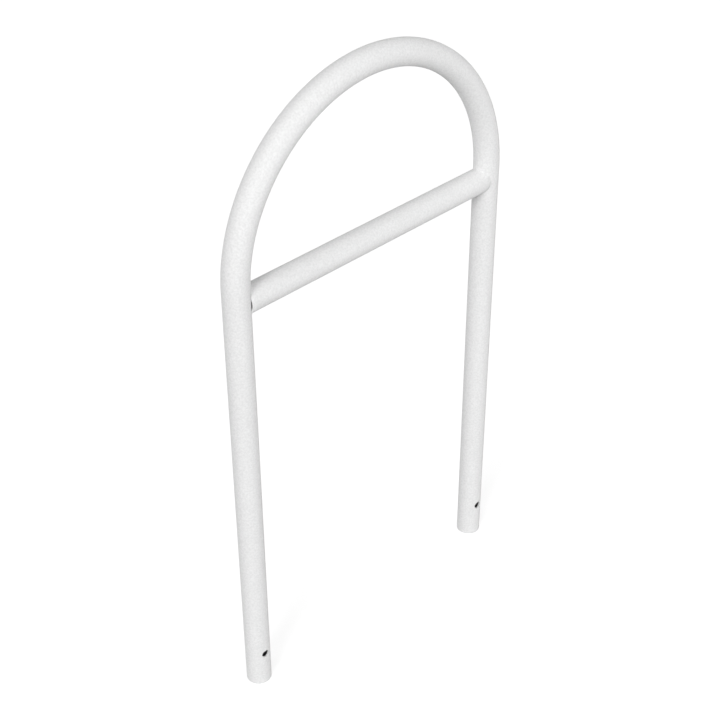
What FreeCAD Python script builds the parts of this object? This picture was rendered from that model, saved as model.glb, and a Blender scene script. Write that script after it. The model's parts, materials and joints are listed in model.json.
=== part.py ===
import FreeCAD, Part
import math
import os

from FreeCAD import Vector

# Hoop bike rack for setting in the ground: one pipe bent into a tall inverted U, with a bar welded across it.
# Sizes are in millimetres. X runs across the hoop from leg to leg, Y through it, Z up.
# The origin is midway between the two legs, at the height of their open ends.

# Hoop tube
hoop_diameter = 48.3  # outside of the pipe
hoop_wall = 3.68
leg_spacing = 609.6  # between the centre lines of the two legs
leg_straight = 887.0  # from the leg's end up to the start of the bend
end_break = 0.5  # chamfer on the cut edges of the leg ends

# Anchor-pin holes, one right through each leg
pin_hole_diameter = 16.0
pin_hole_height = 76.2

# Crossbar
bar_diameter = 48.3
bar_wall = 2.77
bar_height = 862.5  # centre line of the bar above the leg ends
cope_depth = 9.0  # how far the bar's two ears reach past the throat of the saddle cut in its end
cope_gap = 0.3  # fit-up gap between the saddle cut and the leg

# Weld runs, over and under the bar at each leg
weld_size = 2.0  # width of the bead on the bar and on the leg
weld_crown = 0.3  # how far the bead's face stands above flat
weld_stop = 6.0  # how far round the bar a run ends before the blunt end of the ear
weld_end_share = 0.5  # size of the bead where a run starts or stops
weld_fullness = 6  # power of the taper towards those ends: higher keeps the run full for longer
weld_root_share = 0.5  # depth of the outline's root in the corner, as a share of the bead's size
weld_toe_share = 1 / 3  # how far the outline runs on past each toe, likewise
weld_steps = 8  # spans between the outlines that shape one run

hoop_radius = hoop_diameter / 2
bar_radius = bar_diameter / 2
bend_radius = leg_spacing / 2

left, right = -1, 1
upper, lower = 1, -1


def leg_reach(height):
    # from the middle of the hoop out to its centre line, at a height
    rise = max(0.0, height - leg_straight)
    return math.sqrt(bend_radius**2 - rise**2)


def inside_reach(y, height):
    # from the middle of the hoop out to the inner side of its pipe
    rise = max(0.0, height - leg_straight)
    reach = bend_radius - math.sqrt(hoop_radius**2 - y**2)
    return math.sqrt(reach**2 - rise**2)


def disc(centre, normal, radius):
    return Part.Face(Part.Wire(Part.makeCircle(radius, centre, normal)))


def bent_rod(radius):
    # the whole hoop as a solid rod: two straight legs joined by a half circle
    up = Vector(0, 0, 1)
    legs = []
    for side in (left, right):
        foot = disc(Vector(side * bend_radius, 0, 0), up, radius)
        legs.append(foot.extrude(up * leg_straight))
    shoulder = disc(Vector(-bend_radius, 0, leg_straight), up, radius)
    arch = shoulder.revolve(Vector(0, 0, leg_straight), Vector(0, 1, 0), 180)
    return legs[0].fuse([arch, legs[1]]).removeSplitter()


def cross_rod(radius, half_length):
    # a solid rod on the bar's centre line
    start = Vector(-half_length, 0, bar_height)
    return Part.makeCylinder(radius, 2 * half_length, start, Vector(1, 0, 0))


def pin_hole(side):
    start = Vector(side * bend_radius, -hoop_diameter, pin_hole_height)
    return Part.makeCylinder(pin_hole_diameter / 2, 2 * hoop_diameter, start, Vector(0, 1, 0))


def hoop_tube():
    pipe = bent_rod(hoop_radius).cut(bent_rod(hoop_radius - hoop_wall))
    end_edges = [edge for edge in pipe.Edges if edge.BoundBox.ZMax < end_break]
    pipe = pipe.makeChamfer(end_break, end_edges)
    return pipe.cut([pin_hole(left), pin_hole(right)])


def crossbar():
    # the ends are cut square first, then coped to fit round the legs, which leaves two blunt ears
    half_length = leg_reach(bar_height) - (hoop_radius - cope_depth)
    tube = cross_rod(bar_radius, half_length).cut(cross_rod(bar_radius - bar_wall, half_length))
    return tube.cut(bent_rod(hoop_radius + cope_gap))


def weld_half_turn():
    # angle round the bar from its top or bottom line to where a run stops
    ear_y = math.sqrt(hoop_radius**2 - (hoop_radius - cope_depth) ** 2)
    ear_turn = math.asin(min(1.0, ear_y / bar_radius))
    return ear_turn - weld_stop / bar_radius


def seam_point(side, level, turn, height):
    # a point on the leg's surface, this high above the bar's surface at a turn round the bar
    y = (bar_radius + height) * math.sin(turn)
    z = bar_height + level * (bar_radius + height) * math.cos(turn)
    return Vector(side * inside_reach(y, z), y, z)


def bead_outline(side, level, turn, size):
    # a triangle with a crowned face, whose other two sides lie inside the leg and the bar
    away = Vector(-side, 0, 0)
    out = Vector(0, math.sin(turn), level * math.cos(turn))
    corner = seam_point(side, level, turn, 0)
    bar_toe = corner + away * size
    leg_toe = seam_point(side, level, turn, size)
    root = corner - (away + out) * (size * weld_root_share)
    along = (leg_toe - bar_toe).normalize()
    start = bar_toe - along * (size * weld_toe_share)
    stop = leg_toe + along * (size * weld_toe_share)
    crown = (start + stop) / 2 + (away + out).normalize() * weld_crown
    face = Part.Arc(start, crown, stop).toShape()
    return Part.Wire([face, Part.makeLine(stop, root), Part.makeLine(root, start)])


def weld(side, level):
    half_turn = weld_half_turn()
    outlines = []
    for step in range(weld_steps + 1):
        place = 2 * step / weld_steps - 1
        share = 1 - (1 - weld_end_share) * place**weld_fullness
        outlines.append(bead_outline(side, level, place * half_turn, weld_size * share))
    bead = Part.makeLoft(outlines, True)
    return bead.cut([bent_rod(hoop_radius), cross_rod(bar_radius, bend_radius)])


pieces = {
    "hoop_tube": hoop_tube(),
    "crossbar": crossbar(),
    "left_upper_weld": weld(left, upper),
    "left_lower_weld": weld(left, lower),
    "right_upper_weld": weld(right, upper),
    "right_lower_weld": weld(right, lower),
}

os.makedirs("parts", exist_ok=True)
for name, shape in pieces.items():
    shape.exportStep(f"parts/{name}.step")
    print(name, "solids", len(shape.Solids), "valid", shape.isValid(), "volume", round(shape.Volume, 1))
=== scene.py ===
import json
import math
import random
import bmesh
import bpy
from mathutils import Matrix, Vector


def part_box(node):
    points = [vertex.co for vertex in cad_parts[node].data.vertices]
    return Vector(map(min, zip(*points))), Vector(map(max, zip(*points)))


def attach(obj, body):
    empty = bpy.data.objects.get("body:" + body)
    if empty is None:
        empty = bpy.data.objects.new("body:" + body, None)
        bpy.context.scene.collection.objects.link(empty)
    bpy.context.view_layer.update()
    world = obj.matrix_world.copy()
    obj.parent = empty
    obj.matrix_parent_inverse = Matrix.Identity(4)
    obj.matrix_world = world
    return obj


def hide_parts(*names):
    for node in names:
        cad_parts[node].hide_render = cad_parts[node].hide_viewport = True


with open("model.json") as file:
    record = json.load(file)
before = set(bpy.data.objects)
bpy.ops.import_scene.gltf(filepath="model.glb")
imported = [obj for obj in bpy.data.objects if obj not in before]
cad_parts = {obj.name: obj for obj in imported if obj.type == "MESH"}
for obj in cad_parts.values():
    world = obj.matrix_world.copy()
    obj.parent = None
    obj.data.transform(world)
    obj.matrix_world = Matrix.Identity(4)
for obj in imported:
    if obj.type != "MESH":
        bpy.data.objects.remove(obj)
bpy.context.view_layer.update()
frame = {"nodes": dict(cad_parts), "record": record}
print("frame loaded:", len(frame["nodes"]), "nodes")

# Hoop bike rack in white powder coat. Everything is in metres, with +X across the hoop, +Y through it
# and +Z up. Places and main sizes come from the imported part.
mounts = {mount["name"]: mount for mount in frame["record"]["mounts"]}
hoopRadius = mounts["left_leg_root"]["dims"]["r_mm"] / 1000  # outside radius of the bent pipe
legX = mounts["right_pin_hole"]["pos_m"][0]  # a leg's centre line from the middle, and the bend's radius
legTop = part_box("hoop_tube")[1].z - hoopRadius - legX  # where the legs end and the bend begins
barLow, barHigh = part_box("crossbar")
barRadius = (barHigh.z - barLow.z) / 2
barZ = (barHigh.z + barLow.z) / 2
barHalfLength = barHigh.x

sides = (-1, 1)  # left leg, right leg
closeBy = 1e-5  # what is nearer than this counts as being in the same place


# Small tools for modelling

def deselectAll():
    if bpy.context.mode != "OBJECT":
        bpy.ops.object.mode_set(mode="OBJECT")
    bpy.ops.object.select_all(action="DESELECT")


def selectOnly(piece):
    deselectAll()
    piece.select_set(True)
    bpy.context.view_layer.objects.active = piece


def pick(piece, kind, test):
    # in edit mode: selects just the verts, edges or faces that pass the test
    bpy.ops.mesh.select_mode(type=kind)
    bpy.ops.mesh.select_all(action="DESELECT")
    mesh = bmesh.from_edit_mesh(piece.data)
    items = {"VERT": mesh.verts, "EDGE": mesh.edges, "FACE": mesh.faces}[kind]
    for item in items:
        if test(item):
            item.select_set(True)
    mesh.select_flush_mode()
    bmesh.update_edit_mesh(piece.data)


def extrudeBy(step):
    bpy.ops.mesh.extrude_region_move(TRANSFORM_OT_translate={"value": step})


def useModifier(piece, kind, **settings):
    modifier = piece.modifiers.new(kind.lower(), kind)
    for name, value in settings.items():
        setattr(modifier, name, value)
    bpy.context.view_layer.objects.active = piece
    bpy.ops.object.modifier_apply(modifier=modifier.name)


# Finishes

whiteCoat = {
    "lightGrey": 0.89,
    "darkGrey": 0.79,
    "mottleScale": 290,  # per metre, so specks of 3 to 4 mm
    "roughLow": 0.66,
    "roughHigh": 0.78,
    "shine": 0.35,  # specular level, a little under the usual half
    "peelScale": 420,
    "peelDetail": 1.0,
    "peelHeight": 0.00022,
    "grainScale": 1500,
    "grainHeight": 0.00006,
}

bareSteel = {
    "darkGrey": 0.045,
    "lightGrey": 0.11,
    "flakeScale": 260,
    "flakeDetail": 4.0,
    "flakeRoughness": 0.6,
    "flakeHeight": 0.0003,
    "roughLow": 0.55,
    "roughHigh": 0.8,
    "sprayGrey": 0.70,
    "sprayReach": 0.022,  # how far the white coat drifted up inside the open ends
    "sprayThin": 0.05,  # the drift shows from here on, and covers the steel from sprayFull on
    "sprayFull": 0.45,
}

noiseLow, noiseHigh = 0.3, 0.7  # nearly all of a noise texture's values lie between these


def newMaterial(name):
    material = bpy.data.materials.new(name)
    material.use_nodes = True
    nodes = material.node_tree.nodes
    return material, nodes, material.node_tree.links, nodes["Principled BSDF"]


def addNoise(nodes, links, place, scale, detail=2.0, roughness=0.5):
    noise = nodes.new("ShaderNodeTexNoise")
    noise.inputs["Scale"].default_value = scale
    noise.inputs["Detail"].default_value = detail
    noise.inputs["Roughness"].default_value = roughness
    links.new(place, noise.inputs["Vector"])
    return noise.outputs["Fac"]


def addRange(nodes, links, source, fromLow, fromHigh, toLow, toHigh):
    spread = nodes.new("ShaderNodeMapRange")
    spread.inputs["From Min"].default_value = fromLow
    spread.inputs["From Max"].default_value = fromHigh
    spread.inputs["To Min"].default_value = toLow
    spread.inputs["To Max"].default_value = toHigh
    links.new(source, spread.inputs["Value"])
    return spread.outputs["Result"]


def spreadNoise(nodes, links, noise, toLow, toHigh):
    return addRange(nodes, links, noise, noiseLow, noiseHigh, toLow, toHigh)


def addMath(nodes, links, operation, first, second):
    result = nodes.new("ShaderNodeMath")
    result.operation = operation
    links.new(first, result.inputs[0])
    links.new(second, result.inputs[1])
    return result.outputs["Value"]


def addBump(nodes, links, height, distance, below=None):
    bump = nodes.new("ShaderNodeBump")
    bump.inputs["Distance"].default_value = distance
    links.new(height, bump.inputs["Height"])
    if below:
        links.new(below, bump.inputs["Normal"])
    return bump.outputs["Normal"]


def useGrey(nodes, links, shader, grey):
    colour = nodes.new("ShaderNodeCombineColor")
    for channel in ("Red", "Green", "Blue"):
        links.new(grey, colour.inputs[channel])
    links.new(colour.outputs["Color"], shader.inputs["Base Color"])


def makeWhiteCoat():
    # faintly mottled powder coat, with an orange peel and a fine grain over it
    material, nodes, links, shader = newMaterial("whitePowderCoat")
    place = nodes.new("ShaderNodeTexCoord").outputs["Object"]
    mottle = addNoise(nodes, links, place, whiteCoat["mottleScale"])
    grey = spreadNoise(nodes, links, mottle, whiteCoat["darkGrey"], whiteCoat["lightGrey"])
    useGrey(nodes, links, shader, grey)
    roughness = spreadNoise(nodes, links, mottle, whiteCoat["roughLow"], whiteCoat["roughHigh"])
    links.new(roughness, shader.inputs["Roughness"])
    shader.inputs["Specular IOR Level"].default_value = whiteCoat["shine"]
    peel = addNoise(nodes, links, place, whiteCoat["peelScale"], whiteCoat["peelDetail"])
    grain = addNoise(nodes, links, place, whiteCoat["grainScale"])
    peelBump = addBump(nodes, links, peel, whiteCoat["peelHeight"])
    grainBump = addBump(nodes, links, grain, whiteCoat["grainHeight"], peelBump)
    links.new(grainBump, shader.inputs["Normal"])
    return material


def makeBareSteel():
    # mill scale inside the pipes, with the white coat's drift just inside the open ends
    material, nodes, links, shader = newMaterial("bareSteelInside")
    place = nodes.new("ShaderNodeTexCoord").outputs["Object"]
    flakes = addNoise(
        nodes, links, place, bareSteel["flakeScale"], bareSteel["flakeDetail"], bareSteel["flakeRoughness"])
    steel = spreadNoise(nodes, links, flakes, bareSteel["darkGrey"], bareSteel["lightGrey"])
    split = nodes.new("ShaderNodeSeparateXYZ")
    links.new(place, split.inputs["Vector"])
    drift = addRange(nodes, links, split.outputs["Z"], bareSteel["sprayReach"], 0, 0, 1)
    patchy = addMath(nodes, links, "MULTIPLY", drift, flakes)
    spray = addRange(nodes, links, patchy, bareSteel["sprayThin"], bareSteel["sprayFull"], 0, 1)
    mixed = nodes.new("ShaderNodeMix")
    mixed.inputs["B"].default_value = bareSteel["sprayGrey"]
    links.new(spray, mixed.inputs["Factor"])
    links.new(steel, mixed.inputs["A"])
    useGrey(nodes, links, shader, mixed.outputs["Result"])
    roughness = spreadNoise(nodes, links, flakes, bareSteel["roughLow"], bareSteel["roughHigh"])
    links.new(roughness, shader.inputs["Roughness"])
    bump = addBump(nodes, links, flakes, bareSteel["flakeHeight"])
    links.new(bump, shader.inputs["Normal"])
    return material


coatFinish = makeWhiteCoat()
steelFinish = makeBareSteel()
print("finishes made")


# What both pipes need

def startPipe(name, corners, outside, inside, place, turn=(0, 0, 0)):
    # a new piece that begins as one flat ring, with its place in its mesh, open in edit mode
    deselectAll()
    bpy.ops.mesh.primitive_circle_add(vertices=corners, radius=outside, location=place, rotation=turn)
    piece = bpy.context.object
    piece.name = name
    piece.data.name = name
    bpy.ops.object.transform_apply(location=True, rotation=True, scale=True)
    bpy.ops.object.mode_set(mode="EDIT")
    bpy.ops.mesh.select_mode(type="VERT")
    bpy.ops.mesh.select_all(action="SELECT")
    extrudeBy((0, 0, 0))
    bpy.ops.transform.resize(value=(inside / outside,) * 3, center_override=place)
    return piece


def giveInsideSteel(piece, isInside):
    # the coat goes on first, then the faces inside the pipe take the bare steel, its second finish
    piece.data.materials.append(coatFinish)
    piece.data.materials.append(steelFinish)
    pick(piece, "FACE", lambda face: isInside(face.calc_center_median()))
    piece.active_material_index = 1
    bpy.ops.object.material_slot_assign()


def finishPiece(piece, smoothAngle, node):
    selectOnly(piece)
    bpy.ops.object.shade_smooth_by_angle(angle=smoothAngle)
    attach(piece, "root")
    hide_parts(node)
    print(piece.name, "done:", len(piece.data.polygons), "faces")


# Bent pipe

hoopPipe = {
    "wall": 0.00368,
    "corners": 96,  # round the pipe, 16 of them across the window that a pin hole is made in
    "bendSteps": 120,
    "endRound": 0.0005,
    "endSteps": 3,
    "endRow": 0.0015,  # a row of edges close to the cut end, which keeps its rounding tight
    "seamRise": 0.0004,  # the pipe's own lengthwise seam stands this far proud on the inside
    "seamTurn": math.radians(45),  # from the outer side of the left leg towards the back
    "smoothAngle": math.radians(40),
}
hoopBore = hoopRadius - hoopPipe["wall"]

pinHole = {
    "radius": mounts["left_pin_hole"]["dims"]["r_mm"] / 1000,
    "height": mounts["left_pin_hole"]["pos_m"][2],
    "halfWindow": 0.012,  # half the height of the window, which a collar of faces then fills
    "windowTurn": math.radians(30),  # half its width, as an angle round the pipe
    "windowSlack": 1.01,  # points up to this much past its edges still belong to it
    "rows": 16,  # as many faces in its height as in its width, so 4 times as many round it
    "collarCuts": 3,  # rings of edges between the window's outline and the round hole
    "rimRound": 0.0004,
    "rimSteps": 3,
}


def centreLineDistance(point):
    # distance from the centre line of the bent pipe
    if point.z < legTop:
        return math.hypot(abs(point.x) - legX, point.y)
    return math.hypot(math.hypot(point.x, point.z - legTop) - legX, point.y)


def isNearHole(point, side, facing, skin):
    # true for points of one skin, outer or inner, at one mouth of a pin hole
    across, through = point.x - side * legX, facing * point.y
    turn = abs(math.atan2(across, through))
    rise = abs(point.z - pinHole["height"])
    isOnSkin = abs(math.hypot(across, through) - skin) < hoopPipe["wall"] / 2
    isInHeight = rise < pinHole["halfWindow"] * pinHole["windowSlack"]
    return isOnSkin and isInHeight and turn < pinHole["windowTurn"] * pinHole["windowSlack"]


def openMouth(piece, side, facing, skin):
    # takes a window out of one skin and puts a collar with a round hole there
    pick(piece, "FACE", lambda face: isNearHole(face.calc_center_median(), side, facing, skin))
    bpy.ops.mesh.delete(type="FACE")
    place = (side * legX, facing * skin, pinHole["height"])
    bpy.ops.mesh.primitive_circle_add(vertices=4 * pinHole["rows"], radius=pinHole["radius"],
                                      location=place, rotation=(math.pi / 2, 0, 0))
    mesh = bmesh.from_edit_mesh(piece.data)
    for vert in mesh.verts:
        if vert.select:  # the flat circle, pushed straight onto the skin so that it stays round
            vert.co.y = facing * math.sqrt(skin**2 - (vert.co.x - side * legX) ** 2)
    bmesh.update_edit_mesh(piece.data)

    def isOpenEdge(edge):
        isOpen = edge.is_boundary or edge.is_wire
        return isOpen and all(isNearHole(vert.co, side, facing, skin) for vert in edge.verts)

    pick(piece, "EDGE", isOpenEdge)
    bpy.ops.mesh.bridge_edge_loops(number_cuts=pinHole["collarCuts"], interpolation="LINEAR")
    mesh = bmesh.from_edit_mesh(piece.data)
    for vert in mesh.verts:
        if vert.select:  # the collar's new corners, moved outwards onto the skin
            flat = Vector((vert.co.x - side * legX, vert.co.y)).normalized() * skin
            vert.co.x, vert.co.y = side * legX + flat.x, flat.y
    bmesh.update_edit_mesh(piece.data)


def boreHole(piece, side, facing):
    # joins the two round mouths through the pipe's wall, and rounds both rims
    for skin in (hoopRadius, hoopBore):
        openMouth(piece, side, facing, skin)

    def isOnHole(point):
        distance = math.hypot(point.x - side * legX, point.z - pinHole["height"])
        return abs(distance - pinHole["radius"]) < closeBy and facing * point.y > 0

    def isHoleEdge(edge):
        return all(isOnHole(vert.co) for vert in edge.verts)

    def isRimEdge(edge):
        # leaves out the edges that run through the wall from one rim to the other
        depth = abs(edge.verts[0].co.y - edge.verts[1].co.y)
        return isHoleEdge(edge) and depth < hoopPipe["wall"] / 2

    pick(piece, "EDGE", isHoleEdge)
    bpy.ops.mesh.bridge_edge_loops()
    pick(piece, "EDGE", isRimEdge)
    bpy.ops.mesh.bevel(offset=pinHole["rimRound"], segments=pinHole["rimSteps"], affect="EDGES")


def roundEnd(piece, side):
    # rounds both edges of a leg's cut end
    def isEndEdge(edge):
        a, b = (vert.co for vert in edge.verts)
        isSameRing = abs(centreLineDistance(a) - centreLineDistance(b)) < hoopPipe["wall"] / 2
        return abs(a.z) < closeBy and abs(b.z) < closeBy and side * a.x > 0 and isSameRing

    pick(piece, "EDGE", isEndEdge)
    bpy.ops.mesh.bevel(offset=hoopPipe["endRound"], segments=hoopPipe["endSteps"], affect="EDGES")


def raiseSeam(piece, foot):
    # pulls in one corner of the ring that starts the pipe
    way = Vector((-math.cos(hoopPipe["seamTurn"]), math.sin(hoopPipe["seamTurn"]), 0))
    corner = foot + way * hoopBore
    pick(piece, "VERT", lambda vert: (vert.co - corner).length < closeBy)
    bpy.ops.transform.translate(value=-way * hoopPipe["seamRise"])


def buildHoop():
    # up the left leg, round the bend and down the right one, then the holes and the cut ends
    foot = Vector((-legX, 0, 0))
    piece = startPipe("bentPipe", hoopPipe["corners"], hoopRadius, hoopBore, foot)
    raiseSeam(piece, foot)
    bpy.ops.mesh.select_all(action="SELECT")
    low, high = pinHole["height"] - pinHole["halfWindow"], pinHole["height"] + pinHole["halfWindow"]
    rows = [low + (high - low) * row / pinHole["rows"] for row in range(pinHole["rows"] + 1)]
    levels = [0, hoopPipe["endRow"], *rows, legTop]
    steps = [upper - lower for lower, upper in zip(levels, levels[1:])]
    for step in steps:
        extrudeBy((0, 0, step))
    bpy.ops.mesh.spin(steps=hoopPipe["bendSteps"], angle=math.pi, center=(0, 0, legTop), axis=(0, -1, 0))
    for step in reversed(steps):
        extrudeBy((0, 0, -step))
    for side in sides:
        for facing in (-1, 1):
            boreHole(piece, side, facing)
        roundEnd(piece, side)
    bpy.ops.mesh.select_all(action="SELECT")
    bpy.ops.mesh.remove_doubles(threshold=closeBy)
    bpy.ops.mesh.normals_make_consistent(inside=False)
    steelLimit = hoopBore + hoopPipe["endRound"] / 4  # takes in the first strip of each rounded edge
    giveInsideSteel(piece, lambda point: centreLineDistance(point) < steelLimit)
    finishPiece(piece, hoopPipe["smoothAngle"], "hoop_tube")


buildHoop()


# Crossbar

crossBar = {
    "wall": 0.00277,
    "corners": 96,
    "endRow": 0.278,  # from the middle to a row of edges near each saddle cut
    "copeGap": 0.0003,  # fit-up gap between the saddle cut in its end and the leg
    "copeCorners": 192,
    "shortEdge": 0.00005,  # edges that the cut leaves shorter than this are closed up
    "surfaceSlack": 0.0001,  # a point this close to the bar's surface counts as on it
    "sharpAngle": math.radians(20),
    "edgeRound": 0.00025,
    "edgeSteps": 2,
    "smoothAngle": math.radians(40),
}
barBore = barRadius - crossBar["wall"]


def copeEnd(piece, side):
    # the saddle cut that fits round a leg
    deselectAll()
    bpy.ops.mesh.primitive_cylinder_add(
        vertices=crossBar["copeCorners"], radius=hoopRadius + crossBar["copeGap"],
        depth=4 * barRadius, location=(side * legX, 0, barZ))
    cutter = bpy.context.object
    useModifier(piece, "BOOLEAN", operation="DIFFERENCE", solver="EXACT", object=cutter)
    bpy.data.objects.remove(cutter)


def buildBar():
    start = Vector((-barHalfLength, 0, barZ))
    alongX = (0, math.pi / 2, 0)
    piece = startPipe("weldedBar", crossBar["corners"], barRadius, barBore, start, alongX)
    bpy.ops.mesh.select_all(action="SELECT")
    places = [-barHalfLength, -crossBar["endRow"], crossBar["endRow"], barHalfLength]
    for here, there in zip(places, places[1:]):
        extrudeBy((there - here, 0, 0))
    bpy.ops.mesh.select_all(action="SELECT")
    bpy.ops.mesh.normals_make_consistent(inside=False)
    for side in sides:
        copeEnd(piece, side)
    selectOnly(piece)
    bpy.ops.object.mode_set(mode="EDIT")
    pick(piece, "EDGE", lambda edge: edge.calc_length() < crossBar["shortEdge"])
    bpy.ops.mesh.merge(type="COLLAPSE")

    def radiusAt(point):
        return math.hypot(point.y, point.z - barZ)

    def isCopeEdge(edge):
        # the sharp outer edge between the bar's surface and its saddle cut or blunt end
        slack = max(abs(radiusAt(vert.co) - barRadius) for vert in edge.verts)
        return slack < crossBar["surfaceSlack"] and edge.calc_face_angle(0) > crossBar["sharpAngle"]

    pick(piece, "EDGE", isCopeEdge)
    bpy.ops.mesh.bevel(
        offset=crossBar["edgeRound"], segments=crossBar["edgeSteps"], affect="EDGES", clamp_overlap=True)
    giveInsideSteel(piece, lambda point: radiusAt(point) < barBore + closeBy)
    finishPiece(piece, crossBar["smoothAngle"], "crossbar")


buildBar()


# Weld beads, one over and one under the bar at each leg

weldBead = {
    "halfTurn": math.radians(36),  # how far round the bar a run reaches from its middle
    "reach": 0.0016,  # half the width of a bead's face
    "depth": 0.0009,  # half its thickness
    "lift": 0.00025,  # from the corner out to the bead's middle
    "ripple": 0.0014,  # half the length of one ripple, along the run
    "pitch": 0.001,  # from one ripple to the next
    "uneven": 0.05,  # how much larger or smaller a ripple may be, as a share of its size
    "endShare": 0.5,  # size of the bead where a run starts or stops
    "fullness": 6,  # power of the taper towards those ends: higher keeps the run full for longer
    "lookAhead": 0.01,  # turn to the next point of the corner line, which gives the run's direction
    "corners": 24,
    "rings": 16,
    "voxel": 0.00015,  # size of the grid that melts the ripples together
    "smoothFactor": 0.5,
    "smoothRounds": 3,
    "smoothAngle": math.radians(60),
}


def cornerPoint(side, level, turn):
    # a point on the line where the bar's surface meets the leg's
    y = barRadius * math.sin(turn)
    x = side * (legX - math.sqrt(hoopRadius**2 - y**2))
    return Vector((x, y, barZ + level * barRadius * math.cos(turn)))


def addRipple(side, level, turn, size):
    # one ripple: a flattened ball that lies in the corner and faces out of it
    corner = cornerPoint(side, level, turn)
    ahead = cornerPoint(side, level, turn + weldBead["lookAhead"])
    away = Vector((-side, 0, 0))
    out = Vector((0, math.sin(turn), level * math.cos(turn)))
    face = (away + out).normalized()
    across = (ahead - corner).normalized().cross(face).normalized()
    along = face.cross(across)
    bpy.ops.mesh.primitive_uv_sphere_add(
        segments=weldBead["corners"], ring_count=weldBead["rings"], radius=1,
        location=corner + face * weldBead["lift"] * size,
        rotation=Matrix((across, along, face)).transposed().to_euler(),
        scale=(weldBead["reach"] * size, weldBead["ripple"], weldBead["depth"] * size))
    return bpy.context.object


def buildWeld(name, side, level, seed, node):
    # a row of ripples melted into one bead
    chance = random.Random(seed)
    count = round(2 * weldBead["halfTurn"] * barRadius / weldBead["pitch"])
    ripples = []
    deselectAll()
    for index in range(count + 1):
        share = 2 * index / count - 1  # from -1 at one end of the run to 1 at the other
        size = 1 - (1 - weldBead["endShare"]) * share ** weldBead["fullness"]
        size *= 1 + chance.uniform(-weldBead["uneven"], weldBead["uneven"])
        ripples.append(addRipple(side, level, weldBead["halfTurn"] * share, size))
    for ripple in ripples:
        ripple.select_set(True)
    bpy.ops.object.transform_apply(location=True, rotation=True, scale=True)
    bpy.context.view_layer.objects.active = ripples[0]
    bpy.ops.object.join()
    piece = bpy.context.object
    piece.name = name
    piece.data.name = name
    useModifier(piece, "REMESH", mode="VOXEL", voxel_size=weldBead["voxel"])
    useModifier(piece, "SMOOTH", factor=weldBead["smoothFactor"], iterations=weldBead["smoothRounds"])
    piece.data.materials.append(coatFinish)
    finishPiece(piece, weldBead["smoothAngle"], node)


welds = [
    # name, side, level, node
    ("weldLeftUpper", -1, 1, "left_upper_weld"),
    ("weldLeftLower", -1, -1, "left_lower_weld"),
    ("weldRightUpper", 1, 1, "right_upper_weld"),
    ("weldRightLower", 1, -1, "right_lower_weld"),
]
for seed, (name, side, level, node) in enumerate(welds):
    buildWeld(name, side, level, seed, node)


# Floor, light and camera. An azimuth of 0 is in front of the hoop, on the -Y side, and 90 is at +X.

studio = {
    "floorSize": 40,
    "floorGrey": 0.50,
    "floorShow": 0.68,  # extra white that only the camera and mirror-like paths see
    "ambient": 0.32,
    "lamps": [
        # name, azimuth, elevation, spread, strength
        ("keyLight", -65, 30, 20, 0.415),
        ("leftLight", -110, 30, 30, 0.14),
        ("rightLight", 45, 30, 30, 0.06),
        ("lowLight", 0, 5, 60, 0.55),
        ("backLight", 135, 30, 60, 0.08),
    ],
}

camera = {
    "azimuth": -45.1,
    "elevation": 35.22,
    "distance": 2.7316,
    "aimHeight": 0.608,
    "lens": 74.47,
    "sensor": 36,
    "shift": (-0.01332, -0.0053),  # the photograph's own off-centre framing
    "clip": (0.05, 100),
}


def cameraOrMirror(nodes, links):
    # 1 on paths that come from the camera, straight or by way of something shiny or clear
    path = nodes.new("ShaderNodeLightPath")
    shown = path.outputs["Is Camera Ray"]
    for kind in ("Is Glossy Ray", "Is Transmission Ray"):
        shown = addMath(nodes, links, "MAXIMUM", shown, path.outputs[kind])
    return shown


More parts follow.
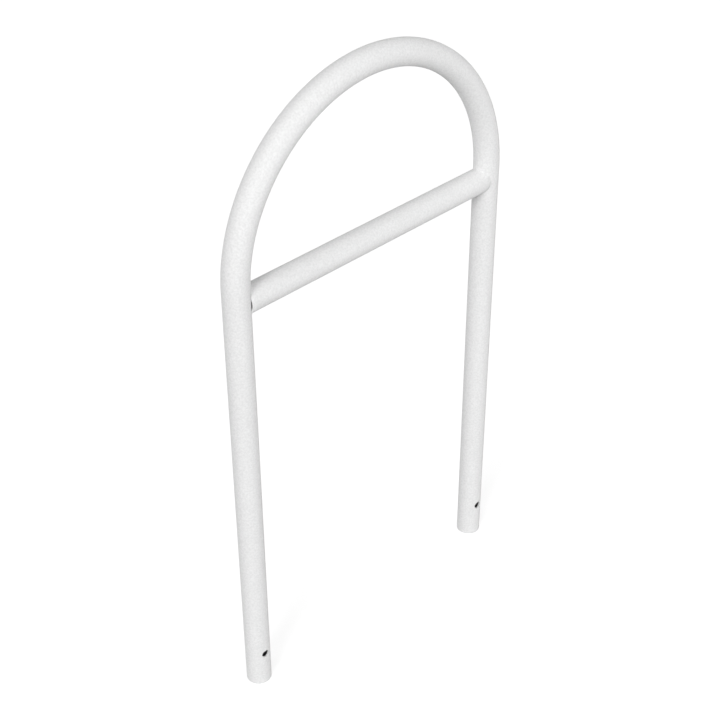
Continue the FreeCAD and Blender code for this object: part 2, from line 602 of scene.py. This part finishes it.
def makeFloor():
    deselectAll()
    bpy.ops.mesh.primitive_plane_add(size=studio["floorSize"])
    floor = bpy.context.object
    floor.name = "studioFloor"
    material, nodes, links, shader = newMaterial("studioFloorWhite")
    shader.inputs["Base Color"].default_value = (studio["floorGrey"],) * 3 + (1,)
    shader.inputs["Roughness"].default_value = 1
    shader.inputs["Specular IOR Level"].default_value = 0
    glow = nodes.new("ShaderNodeEmission")
    strength = addRange(nodes, links, cameraOrMirror(nodes, links), 0, 1, 0, studio["floorShow"])
    links.new(strength, glow.inputs["Strength"])
    both = nodes.new("ShaderNodeAddShader")
    links.new(shader.outputs["BSDF"], both.inputs[0])
    links.new(glow.outputs["Emission"], both.inputs[1])
    links.new(both.outputs["Shader"], nodes["Material Output"].inputs["Surface"])
    floor.data.materials.append(material)


def makeWorld():
    # dim white light all round, which the camera sees as full white
    world = bpy.data.worlds.new("paleStudio")
    bpy.context.scene.world = world
    world.use_nodes = True
    nodes, links = world.node_tree.nodes, world.node_tree.links
    sky = nodes["Background"]
    sky.inputs["Color"].default_value = (1, 1, 1, 1)
    strength = addRange(nodes, links, cameraOrMirror(nodes, links), 0, 1, studio["ambient"], 1)
    links.new(strength, sky.inputs["Strength"])


def makeLamps():
    for name, azimuth, elevation, spread, strength in studio["lamps"]:
        deselectAll()
        bpy.ops.object.light_add(
            type="SUN", rotation=(math.radians(90 - elevation), 0, math.radians(azimuth)))
        lamp = bpy.context.object
        lamp.name = name
        lamp.data.angle = math.radians(spread)
        lamp.data.energy = strength * math.pi


def makeCamera():
    turn, rise = math.radians(camera["azimuth"]), math.radians(camera["elevation"])
    back = Vector((math.sin(turn) * math.cos(rise), -math.cos(turn) * math.cos(rise), math.sin(rise)))
    place = Vector((0, 0, camera["aimHeight"])) + back * camera["distance"]
    deselectAll()
    bpy.ops.object.camera_add(location=place, rotation=(math.pi / 2 - rise, 0, turn))
    view = bpy.context.object
    view.name = "photoCamera"
    view.data.sensor_width = camera["sensor"]
    view.data.lens = camera["lens"]
    view.data.shift_x, view.data.shift_y = camera["shift"]
    view.data.clip_start, view.data.clip_end = camera["clip"]
    bpy.context.scene.camera = view


makeFloor()
makeWorld()
makeLamps()
makeCamera()
bpy.context.scene.view_settings.view_transform = "Standard"
print("studio ready")

deselectAll()
